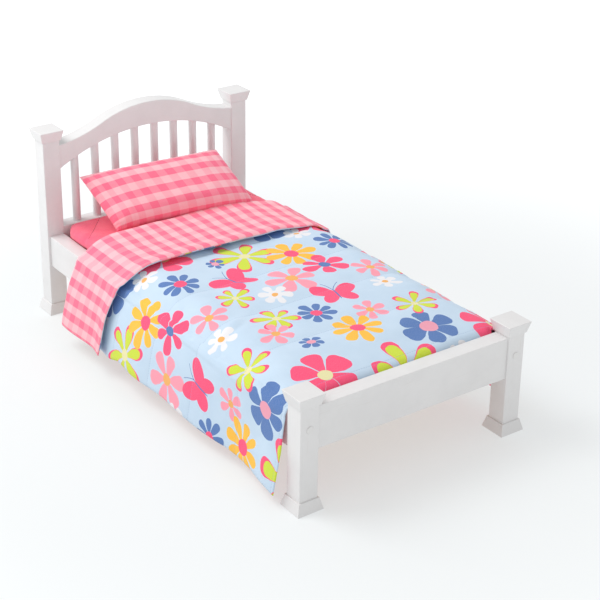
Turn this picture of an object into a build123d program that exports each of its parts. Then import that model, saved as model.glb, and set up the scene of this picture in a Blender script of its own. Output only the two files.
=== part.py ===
from build123d import *
import math
import os

# Doll's four poster bed: X across, +Y to the head end, +Z up, origin on the floor under the middle.

# ---- driving dimensions (mm) ----
POST = 22.0                 # square post
BED_WIDTH = 288.0           # over the posts' outer faces
BED_LENGTH = 544.0
HEAD_POST_TOP = 237.0       # top of the cap
FOOT_POST_TOP = 130.0
END_BLOCK = 13.0            # height of a cap and of a foot block
CAP_LEDGE, CAP_FLARE = 1.3, 4.5      # how far a cap stands out at its bottom and at its top
FOOT_LEDGE, FOOT_FLARE = 1.4, 4.8    # the same for a foot block, top and bottom
EASED = 0.8                 # rounding of the long wooden edges
BLOCK_EASED = 0.5           # rounding of the caps and foot blocks

SIDE_RAIL_TOP, SIDE_RAIL_BOTTOM = 103.3, 64.4
SIDE_RAIL_THICK = 19.0
FOOTBOARD_TOP, FOOTBOARD_BOTTOM = 115.0, 67.0
FOOTBOARD_THICK, FOOTBOARD_SET = 19.0, 1.8
HEAD_RAIL_TOP, HEAD_RAIL_BOTTOM = 112.5, 64.5
HEAD_RAIL_THICK, HEAD_RAIL_SET = 20.0, 1.0

ARCH_CROWN, ARCH_END = 248.7, 217.3  # top edge, in the middle and at the posts
ARCH_CROWN_RADIUS = 146.0
ARCH_TURN = 64.0            # where the crown arc turns into the hollow one
ARCH_UNDERSIDE = 219.3      # underside in the middle
ARCH_UNDERSIDE_RADIUS = 248.0
ARCH_CHAMFER = 0.6

SPINDLE_COUNT = 8
SPINDLE_PITCH = 28.0
SPINDLE_RADIUS = 5.0
SPINDLE_TENON = 8.0

LEDGER = 12.0               # square strip that carries the slats
LEDGER_LENGTH = 480.0
SLAT_COUNT, SLAT_WIDTH, SLAT_THICK, SLAT_PITCH = 7, 34.0, 6.0, 72.0

DOWEL_RADIUS, DOWEL_LENGTH, DOWEL_IN_POST = 3.0, 30.0, 12.0
BOLT_HEIGHT = 92.6
BOLT_RADIUS, BOLT_HOLE, BOLT_LENGTH = 2.0, 2.3, 48.0
BOLT_HEAD_RADIUS, BOLT_HEAD = 3.5, 4.0
BOLT_HEX = 1.5
PLUG_RADIUS, PLUG_DEPTH, PLUG_PROUD = 4.0, 3.0, 0.8
NUT_RADIUS, NUT_LENGTH, NUT_REACH = 4.0, 15.0, 25.0
SCREW_RADIUS, SCREW_HEAD_RADIUS, SCREW_HEAD = 1.5, 3.0, 1.8

MATTRESS_TOP = 117.0
MATTRESS_HALF_WIDTH = 121.0
MATTRESS_FOOT, MATTRESS_HEAD = -243.0, 250.0
MATTRESS_CORNER, MATTRESS_EDGE = 20.0, 9.0
SHEET_THICK, SHEET_LIP = 1.2, 25.0

PILLOW_WIDTH, PILLOW_HEIGHT, PILLOW_THICK = 186.0, 86.0, 31.0
PILLOW_LEAN, PILLOW_YAW = 38.0, -5.8
PILLOW_FOOT = (5.0, 172.5, 119.0)    # middle of the lower seam

DUVET_SPAN = 170.0          # past the hem on each side
DUVET_FOOT = -244.5
DUVET_HEAD, DUVET_HEAD_SLANT = 164.0, -0.07   # folded edge: y at the middle, and its slope
FOLD_EDGE, FOLD_EDGE_SLANT = 61.0, -0.075     # free edge of the part folded back
TUCK_HALF_WIDTH, TUCK_FOOT, TUCK_BOTTOM = 112.0, -250.6, 92.0

half_width = BED_WIDTH / 2
half_length = BED_LENGTH / 2
inner_x = half_width - POST
inner_y = half_length - POST
post_x = half_width - POST / 2
post_y = half_length - POST / 2
slat_top = SIDE_RAIL_BOTTOM + LEDGER + SLAT_THICK
side_rail_outer = inner_x + SIDE_RAIL_THICK
head_rail_front = inner_y + HEAD_RAIL_SET
head_rail_middle = head_rail_front + HEAD_RAIL_THICK / 2
footboard_front = -half_length + FOOTBOARD_SET
footboard_back = footboard_front + FOOTBOARD_THICK
footboard_middle = footboard_front + FOOTBOARD_THICK / 2
SIDES = {"left": -1, "right": 1}
ENDS = {"foot": -1, "head": 1}


def block(x, y, z):
    """Box between two X, two Y and two Z positions."""
    size = [abs(span[1] - span[0]) for span in (x, y, z)]
    middle = [(span[0] + span[1]) / 2 for span in (x, y, z)]
    return Pos(*middle) * Box(*size)


def rod(start, end, radius):
    """Round bar between two points."""
    path = Vector(*end) - Vector(*start)
    return Part() + Solid.make_cylinder(radius, path.length, Plane(origin=start, z_dir=path))


def eased_rail(x, y, z, axis):
    """Rail with its long edges rounded."""
    rail = block(x, y, z)
    return fillet(rail.edges().filter_by(axis), EASED)


def frustum(x, y, low, low_half, high, high_half):
    """Square block with sloping sides and rounded edges."""
    lower = Pos(x, y, low) * Rectangle(2 * low_half, 2 * low_half)
    upper = Pos(x, y, high) * Rectangle(2 * high_half, 2 * high_half)
    solid = loft([lower, upper])
    return fillet(solid.edges(), BLOCK_EASED)


def wood_screw(start, direction, length):
    """Countersunk screw, its head's face at the start point."""
    end = [p + d * length for p, d in zip(start, direction)]
    shank = rod(start, end, SCREW_RADIUS)
    head = Solid.make_cone(SCREW_HEAD_RADIUS, SCREW_RADIUS, SCREW_HEAD, Plane(origin=start, z_dir=direction))
    return shank + head


def group(solids):
    """Several separate solids in one node."""
    return Compound(children=[solid.solid() for solid in solids])


def dowels_along_x(heights, y):
    """Dowel pins between the posts and the two ends of a cross rail."""
    pins = []
    for side in SIDES.values():
        start = inner_x + DOWEL_IN_POST
        end = start - DOWEL_LENGTH
        for height in heights:
            pins.append(rod((side * start, y, height), (side * end, y, height), DOWEL_RADIUS))
    return pins


def arch_underside(x):
    """Height of the arch rail's underside at a place across the bed."""
    drop = ARCH_UNDERSIDE_RADIUS - math.sqrt(ARCH_UNDERSIDE_RADIUS**2 - x**2)
    return ARCH_UNDERSIDE - drop


# ---- fastenings and their holes ----
arch_end_middle = (ARCH_END + arch_underside(inner_x)) / 2
headboard_dowels = dowels_along_x([83.0, 103.0, arch_end_middle], head_rail_middle)
footboard_dowels = dowels_along_x([83.0, 103.0], footboard_middle)

bolts, plugs, barrel_nuts, side_dowels, bolt_holes, end_dowels = [], [], [], [], [], []
for end_name, end in ENDS.items():
    post_top = HEAD_POST_TOP if end_name == "head" else FOOT_POST_TOP
    for side in SIDES.values():
        x = side * post_x
        outer_face = end * half_length
        plug_seat = end * (half_length - PLUG_DEPTH)
        head_seat = end * (half_length - PLUG_DEPTH - BOLT_HEAD)
        bolt_end = end * (half_length - PLUG_DEPTH - BOLT_HEAD - BOLT_LENGTH)
        nut_y = end * (inner_y - NUT_REACH)

        socket = rod((x, plug_seat, BOLT_HEIGHT), (x, head_seat + end * 1.5, BOLT_HEIGHT), BOLT_HEX)
        head = rod((x, plug_seat, BOLT_HEIGHT), (x, head_seat, BOLT_HEIGHT), BOLT_HEAD_RADIUS) - socket
        bolts.append(head + rod((x, head_seat, BOLT_HEIGHT), (x, bolt_end, BOLT_HEIGHT), BOLT_RADIUS))

        plug = rod((x, outer_face + end * PLUG_PROUD, BOLT_HEIGHT), (x, plug_seat, BOLT_HEIGHT), PLUG_RADIUS)
        rim = plug.edges().filter_by(GeomType.CIRCLE).sort_by(Axis.Y)[0 if end < 0 else -1]
        plugs.append(fillet(rim, PLUG_PROUD / 2))

        recess = rod((x, outer_face, BOLT_HEIGHT), (x, head_seat, BOLT_HEIGHT), PLUG_RADIUS)
        bore = rod((x, head_seat, BOLT_HEIGHT), (x, bolt_end - end * 2, BOLT_HEIGHT), BOLT_HOLE)
        bolt_holes += [recess, bore]

        nut_start = (side * inner_x, nut_y, BOLT_HEIGHT)
        nut_end = (side * (inner_x + NUT_LENGTH), nut_y, BOLT_HEIGHT)
        thread = rod((x, nut_y - NUT_RADIUS, BOLT_HEIGHT), (x, nut_y + NUT_RADIUS, BOLT_HEIGHT), BOLT_RADIUS)
        barrel_nuts.append((rod(nut_start, nut_end, NUT_RADIUS), thread))

        pin_start = (x, end * (inner_y + DOWEL_IN_POST), 74.0)
        pin_end = (x, end * (inner_y + DOWEL_IN_POST - DOWEL_LENGTH), 74.0)
        side_dowels.append(rod(pin_start, pin_end, DOWEL_RADIUS))

        y = end * post_y
        for joint in (END_BLOCK, post_top - END_BLOCK):
            end_dowels.append(rod((x, y, joint - 9), (x, y, joint + 9), DOWEL_RADIUS))

spindle_places = [(i - (SPINDLE_COUNT - 1) / 2) * SPINDLE_PITCH for i in range(SPINDLE_COUNT)]
spindles = []
for x in spindle_places:
    low = (x, head_rail_middle, HEAD_RAIL_TOP - SPINDLE_TENON)
    high = (x, head_rail_middle, arch_underside(x) + SPINDLE_TENON)
    spindles.append(rod(low, high, SPINDLE_RADIUS))


# ---- posts, caps and foot blocks ----
def bed_post(x, y, top):
    half = POST / 2
    post = block((x - half, x + half), (y - half, y + half), (END_BLOCK, top - END_BLOCK))
    post = fillet(post.edges().filter_by(Axis.Z), EASED)
    for cutter in headboard_dowels + footboard_dowels + side_dowels + bolt_holes + end_dowels:
        post -= cutter
    return post


def post_cap(x, y, top):
    half = POST / 2
    cap = frustum(x, y, top - END_BLOCK, half + CAP_LEDGE, top, half + CAP_FLARE)
    for pin in end_dowels:
        cap -= pin
    return cap


def foot_block(x, y):
    half = POST / 2
    foot = frustum(x, y, 0, half + FOOT_FLARE, END_BLOCK, half + FOOT_LEDGE)
    for pin in end_dowels:
        foot -= pin
    return foot


# ---- headboard ----
def arch_rail():
    centre = ARCH_CROWN - ARCH_CROWN_RADIUS
    turn_height = centre + math.sqrt(ARCH_CROWN_RADIUS**2 - ARCH_TURN**2)
    turn_slope = (turn_height - centre, -ARCH_TURN)
    mirrored_slope = (centre - turn_height, -ARCH_TURN)
    corner_height = arch_underside(inner_x)
    with BuildSketch(Plane.XZ.offset(-head_rail_front)) as outline:
        with BuildLine():
            ThreePointArc((-ARCH_TURN, turn_height), (0, ARCH_CROWN), (ARCH_TURN, turn_height))
            TangentArc((ARCH_TURN, turn_height), (inner_x, ARCH_END), tangent=turn_slope)
            Line((inner_x, ARCH_END), (inner_x, corner_height))
            ThreePointArc((inner_x, corner_height), (0, ARCH_UNDERSIDE), (-inner_x, corner_height))
            Line((-inner_x, corner_height), (-inner_x, ARCH_END))
            TangentArc((-ARCH_TURN, turn_height), (-inner_x, ARCH_END), tangent=mirrored_slope)
        make_face()
    rail = extrude(outline.sketch, amount=HEAD_RAIL_THICK, dir=(0, 1, 0))
    rail = chamfer(rail.edges().filter_by(GeomType.CIRCLE), ARCH_CHAMFER)
    for cutter in spindles + headboard_dowels:
        rail -= cutter
    return rail


def head_rail():
    y = (head_rail_front, head_rail_front + HEAD_RAIL_THICK)
    rail = eased_rail((-inner_x, inner_x), y, (HEAD_RAIL_BOTTOM, HEAD_RAIL_TOP), Axis.X)
    for cutter in spindles + headboard_dowels:
        rail -= cutter
    return rail


def footboard():
    y = (footboard_front, footboard_back)
    rail = eased_rail((-inner_x, inner_x), y, (FOOTBOARD_BOTTOM, FOOTBOARD_TOP), Axis.X)
    for cutter in footboard_dowels:
        rail -= cutter
    return rail


# ---- side rails, ledgers and slats ----
def side_rail(side):
    x = (side * inner_x, side * side_rail_outer)
    rail = eased_rail(x, (-inner_y, inner_y), (SIDE_RAIL_BOTTOM, SIDE_RAIL_TOP), Axis.Y)
    nut_bodies = [nut for nut, thread in barrel_nuts]
    for cutter in side_dowels + bolt_holes + nut_bodies + ledger_screws:
        rail -= cutter
    return rail


def ledger(side):
    x = (side * inner_x, side * (inner_x - LEDGER))
    y = (-LEDGER_LENGTH / 2, LEDGER_LENGTH / 2)
    strip = block(x, y, (SIDE_RAIL_BOTTOM, SIDE_RAIL_BOTTOM + LEDGER))
    for screw in ledger_screws + slat_screws:
        strip -= screw
    return strip


def slat(y):
    x = inner_x - 1.0
    plank = block((-x, x), (y - SLAT_WIDTH / 2, y + SLAT_WIDTH / 2), (slat_top - SLAT_THICK, slat_top))
    for screw in slat_screws:
        plank -= screw
    return plank


slat_places = [(i - (SLAT_COUNT - 1) / 2) * SLAT_PITCH for i in range(SLAT_COUNT)]
ledger_screws, slat_screws = [], []
for side in SIDES.values():
    for y in (-200.0, -100.0, 0.0, 100.0, 200.0):
        start = (side * (inner_x - LEDGER), y + 25.0, SIDE_RAIL_BOTTOM + LEDGER / 2)
        ledger_screws.append(wood_screw(start, (side, 0, 0), 24.0))
    for y in slat_places:
        start = (side * (inner_x - LEDGER / 2), y, slat_top)
        slat_screws.append(wood_screw(start, (0, 0, -1), 14.0))


# ---- bedding ----
def padded_block(inset):
    """Mattress outline with round corners, shrunk by an inset."""
    width = 2 * (MATTRESS_HALF_WIDTH - inset)
    length = MATTRESS_HEAD - MATTRESS_FOOT - 2 * inset
    height = MATTRESS_TOP - slat_top - 2 * inset
    outline = RectangleRounded(width, length, MATTRESS_CORNER - inset)
    middle_y = (MATTRESS_HEAD + MATTRESS_FOOT) / 2
    solid = extrude(Pos(0, middle_y, slat_top + inset) * outline, amount=height)
    return fillet(solid.faces().sort_by(Axis.Z)[-1].edges(), MATTRESS_EDGE - inset)


def fitted_sheet(core):
    """Thin cover over the mattress, with a lip turned under it."""
    lip = MATTRESS_HALF_WIDTH - SHEET_LIP
    opening = block((-lip, lip), (MATTRESS_FOOT + SHEET_LIP, MATTRESS_HEAD - SHEET_LIP),
                    (slat_top - 1, slat_top + SHEET_THICK))
    return padded_block(0) - core - opening


def pillow():
    """Leaning pillow: lens-shaped sections, thinner towards the two ends."""
    sections = []
    for place, fullness in ((-0.5, 0.2), (-0.36, 0.85), (0, 1), (0.36, 0.85), (0.5, 0.2)):
        rise = PILLOW_THICK / 2 * fullness
        with BuildSketch(Plane.YZ.offset(place * PILLOW_WIDTH)) as section:
            with BuildLine():
                for bulge in (rise, -rise):
                    lower, upper = (0.3 * PILLOW_HEIGHT, bulge), (0.7 * PILLOW_HEIGHT, 0.92 * bulge)
                    Spline((0, 0), lower, upper, (PILLOW_HEIGHT, 0))
            make_face()
        sections.append(section.sketch)
    cushion = loft(sections, ruled=True)
    return Pos(*PILLOW_FOOT) * Rot(0, 0, PILLOW_YAW) * Rot(PILLOW_LEAN, 0, 0) * cushion


def draped_section(outer, inner):
    """Closed outline across the bed between an outer and an inner line, given for the right half."""
    right = outer + inner[::-1]
    left = [(-x, z) for x, z in right[-2:0:-1]]
    return make_face(Plane.XZ * Polyline(*right, *left, close=True))


def plan_slice(y_foot, foot_slant, y_head, head_slant):
    """Tall prism between two slanting lines across the bed."""
    corners = []
    for x, y, slant in ((-1, y_foot, foot_slant), (1, y_foot, foot_slant), (1, y_head, head_slant),
                        (-1, y_head, head_slant)):
        corners.append((x * DUVET_SPAN, y + slant * x * DUVET_SPAN))
    return extrude(make_face(Polyline(*corners, close=True)), amount=HEAD_POST_TOP, dir=(0, 0, 1))


def duvet():
    """Quilt over the mattress: it hangs outside both side rails, folds back at the head and tucks in
    at the foot."""
    under = [(0, 117.8), (113, 117.8), (120, 115), (123.5, 109.5), (130, 106), (141.8, 104.2), (144, 98),
             (151, 70), (160, 20)]
    upper = [(0, 125), (104, 125), (118, 122.5), (130, 116), (140, 108.5), (146.5, 100), (154, 74),
             (163.5, 19.5)]
    folded = [(0, 131), (106, 131), (120, 128), (133, 120.5), (144, 111), (151, 101), (158.5, 75),
              (168, 19)]
    length = (DUVET_FOOT - 10, DUVET_HEAD + 20)
    single = extrude(draped_section(upper, under), amount=length[1] - length[0], dir=(0, 1, 0))
    double = extrude(draped_section(folded, upper), amount=length[1] - length[0], dir=(0, 1, 0))
    quilt = Pos(0, length[0], 0) * single & plan_slice(DUVET_FOOT, 0, DUVET_HEAD, DUVET_HEAD_SLANT)
    fold = Pos(0, length[0], 0) * double & plan_slice(FOLD_EDGE, FOLD_EDGE_SLANT, DUVET_HEAD, DUVET_HEAD_SLANT)
    tuck = block((-TUCK_HALF_WIDTH, TUCK_HALF_WIDTH), (TUCK_FOOT, DUVET_FOOT), (TUCK_BOTTOM, 123.0))
    return quilt + fold + tuck


# ---- the nodes ----
nodes = {}
for end_name, end in ENDS.items():
    top = HEAD_POST_TOP if end_name == "head" else FOOT_POST_TOP
    for side_name, side in SIDES.items():
        place = (side * post_x, end * post_y)
        nodes[f"post_{end_name}_{side_name}"] = bed_post(*place, top)
        nodes[f"cap_{end_name}_{side_name}"] = post_cap(*place, top)
        nodes[f"foot_block_{end_name}_{side_name}"] = foot_block(*place)
nodes["headboard_arch_rail"] = arch_rail()
nodes["headboard_lower_rail"] = head_rail()
for number, spindle in enumerate(spindles, 1):
    nodes[f"spindle_{number}"] = spindle
nodes["footboard_rail"] = footboard()
for side_name, side in SIDES.items():
    nodes[f"side_rail_{side_name}"] = side_rail(side)
    nodes[f"slat_ledger_{side_name}"] = ledger(side)
for number, y in enumerate(slat_places, 1):
    nodes[f"slat_{number}"] = slat(y)
nodes["cross_rail_dowels"] = group(headboard_dowels + footboard_dowels)
nodes["side_rail_dowels"] = group(side_dowels)
nodes["end_block_dowels"] = group(end_dowels)
nodes["connector_bolts"] = group(bolts)
nodes["barrel_nuts"] = group([nut - thread for nut, thread in barrel_nuts])
nodes["bolt_cover_plugs"] = group(plugs)
nodes["ledger_screws"] = group(ledger_screws)
nodes["slat_screws"] = group(slat_screws)
mattress_core = padded_block(SHEET_THICK)
nodes["mattress"] = mattress_core
nodes["fitted_sheet"] = fitted_sheet(mattress_core)
nodes["pillow"] = pillow()
nodes["duvet"] = duvet()

os.makedirs("parts", exist_ok=True)
for name, shape in nodes.items():
    export_step(shape, f"parts/{name}.step")
    print(name, len(shape.solids()), round(shape.volume))
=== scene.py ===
"""Looks of the doll's four poster bed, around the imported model.

Lengths are in millimetres until a mesh, light or camera is made.
"""
import math
from functools import partialmethod

import bmesh
import bpy
import numpy as np
from mathutils import Matrix, Vector, noise
from mathutils.bvhtree import BVHTree


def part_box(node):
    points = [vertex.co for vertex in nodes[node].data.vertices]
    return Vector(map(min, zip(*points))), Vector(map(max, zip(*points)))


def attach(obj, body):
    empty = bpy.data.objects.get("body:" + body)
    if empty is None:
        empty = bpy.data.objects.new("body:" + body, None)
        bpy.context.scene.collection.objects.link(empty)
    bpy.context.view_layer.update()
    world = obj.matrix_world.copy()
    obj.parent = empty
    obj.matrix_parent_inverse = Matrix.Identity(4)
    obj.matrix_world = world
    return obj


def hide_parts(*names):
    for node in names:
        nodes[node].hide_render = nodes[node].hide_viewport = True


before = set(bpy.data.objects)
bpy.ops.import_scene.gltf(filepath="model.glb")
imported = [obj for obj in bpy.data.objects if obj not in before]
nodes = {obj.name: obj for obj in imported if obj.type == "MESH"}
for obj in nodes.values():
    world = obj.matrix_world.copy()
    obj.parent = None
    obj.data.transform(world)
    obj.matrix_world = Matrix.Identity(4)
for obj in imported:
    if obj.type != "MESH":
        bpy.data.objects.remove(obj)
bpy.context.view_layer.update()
MM = 0.001


def node_box(name):
    """Lowest and highest corner of a CAD node, in mm."""
    low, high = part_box(name)
    return np.array(low) / MM, np.array(high) / MM


# ---------------- colours (linear light)

def dye(red, green, blue):
    """A display colour, 0 to 255, as the linear colour that a shader takes."""
    levels = (red / 255, green / 255, blue / 255)
    return tuple(c / 12.92 if c <= 0.04045 else ((c + 0.055) / 1.055) ** 2.4 for c in levels) + (1.0,)


HOT_PINK = dye(255, 80, 124)
PALE_PINK = dye(255, 158, 176)
BLUSH = dye(240, 160, 180)
AMBER = dye(255, 193, 60)
LIME = dye(208, 225, 55)
CREAM = dye(234, 228, 172)
DENIM = dye(86, 123, 183)
CLOUD = dye(236, 235, 238)
APRICOT = dye(244, 178, 96)
SKY, PALE_SKY = dye(196, 217, 236), dye(201, 221, 239)
CORAL, DEEP_CORAL = dye(255, 122, 143), dye(250, 104, 134)
CORAL_THREAD = dye(196, 62, 92)
CHECK_DARK, CHECK_LIGHT = dye(255, 118, 148), dye(255, 192, 200)
QUILTING_THREAD = dye(150, 172, 205)
PAINT, PAINT_CLOUD, PAINT_GRAIN = dye(225, 224, 224), dye(229, 228, 228), dye(217, 214, 211)
PAINT_RUBBED = dye(211, 204, 195)   # where an edge has been handled
TICKING_CREAM, TICKING_SHADE = dye(240, 236, 226), dye(230, 224, 212)
TICKING_STRIPE, WELT_SHADE = dye(122, 134, 160), dye(104, 116, 142)


# ---------------- node materials

class Finish:
    """A material under construction, with short calls for the nodes that the finishes share."""

    def __init__(self, name, roughness=0.8, **sockets):
        self.material = bpy.data.materials.new(name)
        self.material.use_nodes = True
        self.tree = self.material.node_tree
        self.shader = self.tree.nodes["Principled BSDF"]
        self.shader.inputs["Roughness"].default_value = roughness
        for socket, value in sockets.items():
            self.shader.inputs[socket.replace("_", " ")].default_value = value

    def node(self, kind, *values, out=0, **settings):
        made = self.tree.nodes.new(kind)
        for key, value in settings.items():
            setattr(made, key, value)
        for socket, value in zip(made.inputs, values):
            self.feed(socket, value)
        return made.outputs[out]

    def feed(self, socket, value):
        if isinstance(value, bpy.types.NodeSocket):
            self.tree.links.new(value, socket)
        elif value is not None:
            socket.default_value = value

    def math(self, operation, *values):
        return self.node("ShaderNodeMath", *values, operation=operation)

    plus = partialmethod(math, "ADD")
    minus = partialmethod(math, "SUBTRACT")
    times = partialmethod(math, "MULTIPLY")
    over = partialmethod(math, "DIVIDE")
    most = partialmethod(math, "MAXIMUM")
    magnitude = partialmethod(math, "ABSOLUTE")
    is_less = partialmethod(math, "LESS_THAN")   # 1 where the first is less than the second

    def vector(self, operation, *values):
        out = 1 if operation in ("LENGTH", "DISTANCE", "DOT_PRODUCT") else 0
        return self.node("ShaderNodeVectorMath", *values, operation=operation, out=out)

    def split(self, vector):
        parts = self.tree.nodes.new("ShaderNodeSeparateXYZ")
        self.feed(parts.inputs[0], vector)
        return parts.outputs[0], parts.outputs[1], parts.outputs[2]

    def join(self, x, y, z=0.0):
        return self.node("ShaderNodeCombineXYZ", x, y, z)

    def mix(self, amount, first, second):
        made = self.tree.nodes.new("ShaderNodeMix")
        made.data_type = "RGBA"
        self.feed(made.inputs["Factor"], amount)
        self.feed(made.inputs[6], first)
        self.feed(made.inputs[7], second)
        return made.outputs[2]

    def ramp(self, amount, low, high):
        """0 below low, 1 above high, and smooth between."""
        made = self.tree.nodes.new("ShaderNodeMapRange")
        made.interpolation_type = "SMOOTHSTEP"
        self.feed(made.inputs["Value"], amount)
        made.inputs["From Min"].default_value = low
        made.inputs["From Max"].default_value = high
        return made.outputs[0]

    def noise(self, place, scale, detail=2.0, rough=0.5):
        made = self.tree.nodes.new("ShaderNodeTexNoise")
        self.feed(made.inputs["Vector"], place)
        made.inputs["Scale"].default_value = scale
        made.inputs["Detail"].default_value = detail
        made.inputs["Roughness"].default_value = rough
        return made.outputs[0]

    def here(self, stretch=(1, 1, 1)):
        """The point on the object, in mm, each axis multiplied by stretch."""
        place = self.node("ShaderNodeTexCoord", out=3)
        return self.vector("MULTIPLY", place, tuple(s / MM for s in stretch))

    def cloth(self):
        """The point on the flat cloth, in mm: across and along."""
        return self.attribute("cloth")

    def attribute(self, name, out=1):
        return self.node("ShaderNodeAttribute", attribute_name=name, out=out)

    def colour(self, value):
        self.feed(self.shader.inputs["Base Color"], value)

    def rough(self, value):
        self.feed(self.shader.inputs["Roughness"], value)

    def bump(self, height, distance, strength=1.0, below=None):
        """Raises the surface by distance mm where height is 1."""
        made = self.tree.nodes.new("ShaderNodeBump")
        made.inputs["Distance"].default_value = distance * MM
        made.inputs["Strength"].default_value = strength
        self.feed(made.inputs["Height"], height)
        if below is not None:
            self.feed(made.inputs["Normal"], below)
        self.feed(self.shader.inputs["Normal"], made.outputs[0])
        return made.outputs[0]


def painted_wood(axis):
    """Satin white paint over wood whose grain runs along axis: brush marks, a little grain, dulled edges."""
    along = [1.0, 1.0, 1.0]
    along["XYZ".index(axis)] = 0.05
    name = f"white_paint_{axis.lower()}"
    f = Finish(name, 0.36, Specular_IOR_Level=0.45, Coat_Weight=0.12, Coat_Roughness=0.25)
    grain = f.noise(f.here(along), 0.55, 6.0, 0.62)
    brush = f.noise(f.here([s * (6 if s < 1 else 1) for s in along]), 1.6, 3.0, 0.5)
    mottle = f.noise(f.here(), 0.035, 3.0, 0.6)
    body = f.mix(f.ramp(mottle, 0.3, 0.7), PAINT, PAINT_CLOUD)
    body = f.mix(f.times(f.ramp(grain, 0.60, 0.72), 0.35), body, PAINT_GRAIN)
    round_edge = f.node("ShaderNodeBevel", 0.7 * MM, samples=4)
    facing = f.vector("DOT_PRODUCT", round_edge, f.node("ShaderNodeNewGeometry", out=1))
    edge = f.minus(1.0, f.ramp(facing, 0.86, 0.995))
    rubbed = f.times(edge, f.ramp(f.noise(f.here(), 0.22, 4.0, 0.7), 0.45, 0.68))
    f.colour(f.mix(f.times(rubbed, 0.45), body, PAINT_RUBBED))
    f.rough(f.plus(0.30, f.times(brush, 0.16)))
    first = f.bump(grain, 0.05, 0.55)
    f.bump(brush, 0.03, 0.5, first)
    return f.material


def bare_wood(name, axis, pale, dark, ring=0.10):
    """Planed, unpainted wood: long rings and fine pores along axis."""
    along = [1.0, 1.0, 1.0]
    along["XYZ".index(axis)] = 0.035
    f = Finish(name, 0.62, Specular_IOR_Level=0.3)
    wander = f.noise(f.here(along), 0.06, 3.0, 0.55)
    rings = f.math("SINE", f.times(wander, 6.283 / ring))
    pores = f.noise(f.here(along), 1.9, 4.0, 0.6)
    tone = f.mix(f.ramp(rings, -0.7, 0.9), pale, dark)
    f.colour(f.mix(f.times(f.ramp(pores, 0.55, 0.7), 0.5), tone, [c * 0.6 for c in dark[:3]] + [1]))
    f.rough(f.plus(0.5, f.times(pores, 0.25)))
    f.bump(pores, 0.06, 0.6)
    return f.material


def plated_steel():
    f = Finish("zinc_steel", 0.34, Metallic=1.0)
    spangle = f.noise(f.here(), 0.9, 3.0, 0.6)
    f.colour(f.mix(spangle, dye(168, 172, 178), dye(214, 216, 220)))
    f.rough(f.plus(0.24, f.times(spangle, 0.22)))
    f.bump(f.noise(f.here((1, 1, 0.1)), 3.0), 0.02, 0.4)
    return f.material


def plug_plastic():
    f = Finish("white_plug", 0.42, Specular_IOR_Level=0.5)
    f.colour(f.mix(f.noise(f.here(), 0.3), dye(224, 223, 222), dye(229, 228, 227)))
    f.bump(f.noise(f.here(), 5.0, 2.0), 0.02, 0.35)
    return f.material


def weave(f, place, pitch, depth, below=None):
    """Plain weave: threads at pitch mm both ways, slubbed, standing depth mm."""
    x, y, _ = f.split(place)
    turn = 2 * math.pi / pitch
    warp = f.math("SINE", f.times(x, turn))
    weft = f.math("SINE", f.times(y, turn))
    slub = f.noise(place, 0.9, 3.0, 0.65)
    threads = f.plus(f.times(warp, weft), f.times(slub, 1.4))
    f.bump(threads, depth, 0.7, below)


CHECK = 10.0                              # side of one square
STRONG_STRIPE, WEAK_STRIPE = 0.72, 0.29   # how far each goes from the light dye to the dark one


def checked_cotton(name, shift, strong_along=True):
    """Pink gingham: strong stripes one way and weaker ones the other.

    Where the two cross, the yarns of both show.
    """
    f = Finish(name, 0.86, Sheen_Weight=0.12, Sheen_Roughness=0.6, Specular_IOR_Level=0.2)
    place = f.cloth()
    wobble = f.vector("MULTIPLY", f.noise(place, 0.05, 2.0), (1.0, 1.0, 0.0))
    place = f.vector("ADD", place, f.vector("ADD", wobble, (shift[0] - 0.5, shift[1] - 0.5, 0.0)))
    x, y, _ = f.split(place)

    def stripes(across):
        wave = f.math("SINE", f.times(across, math.pi / CHECK))
        return f.ramp(wave, -0.06, 0.06)

    strong, weak = (stripes(x), stripes(y)) if strong_along else (stripes(y), stripes(x))
    amount = f.plus(f.times(strong, STRONG_STRIPE), f.times(weak, WEAK_STRIPE))
    yarn = f.noise(f.vector("MULTIPLY", place, (3.2, 0.5, 1.0)), 0.8, 2.0, 0.6)
    cross_yarn = f.noise(f.vector("MULTIPLY", place, (0.5, 3.2, 1.0)), 0.8, 2.0, 0.6)
    fleck = f.times(f.minus(f.plus(yarn, cross_yarn), 1.0), 0.28)
    f.colour(f.mix(f.plus(amount, fleck), CHECK_LIGHT, CHECK_DARK))
    weave(f, place, 0.55, 0.05)
    return f.material


def plain_cotton(name, tone, shade):
    f = Finish(name, 0.82, Sheen_Weight=0.15, Sheen_Roughness=0.5, Specular_IOR_Level=0.2)
    mottle = f.noise(f.here(), 0.05, 4.0, 0.6)
    threads = f.noise(f.here((2.5, 0.4, 2.5)), 0.9, 3.0, 0.6)
    worn = f.mix(f.ramp(mottle, 0.3, 0.75), tone, shade)
    f.colour(f.mix(f.times(f.ramp(threads, 0.5, 0.8), 0.25), worn, shade))
    weave(f, f.here(), 0.5, 0.05)
    return f.material


def ticking():
    """Mattress cover: cream cotton with groups of narrow grey stripes along the bed."""
    f = Finish("mattress_ticking", 0.85, Specular_IOR_Level=0.2)
    x, _, _ = f.split(f.here())
    near = f.magnitude(f.math("WRAP", x, 11.0, -11.0))
    wide = f.is_less(near, 1.1)
    narrow = f.is_less(f.magnitude(f.minus(near, 2.6)), 0.35)
    line = f.times(f.most(wide, narrow), 0.62)
    cream = f.mix(f.noise(f.here(), 0.05, 4.0), TICKING_CREAM, TICKING_SHADE)
    f.colour(f.mix(line, cream, TICKING_STRIPE))
    weave(f, f.here(), 0.6, 0.06)
    return f.material


def thread(name, tone):
    f = Finish(name, 0.6, Sheen_Weight=0.3)
    ply = f.noise(f.here(), 2.4, 2.0)
    f.colour(f.mix(ply, tone, [c * 0.75 for c in tone[:3]] + [1]))
    f.bump(ply, 0.05, 0.5)
    return f.material


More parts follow.
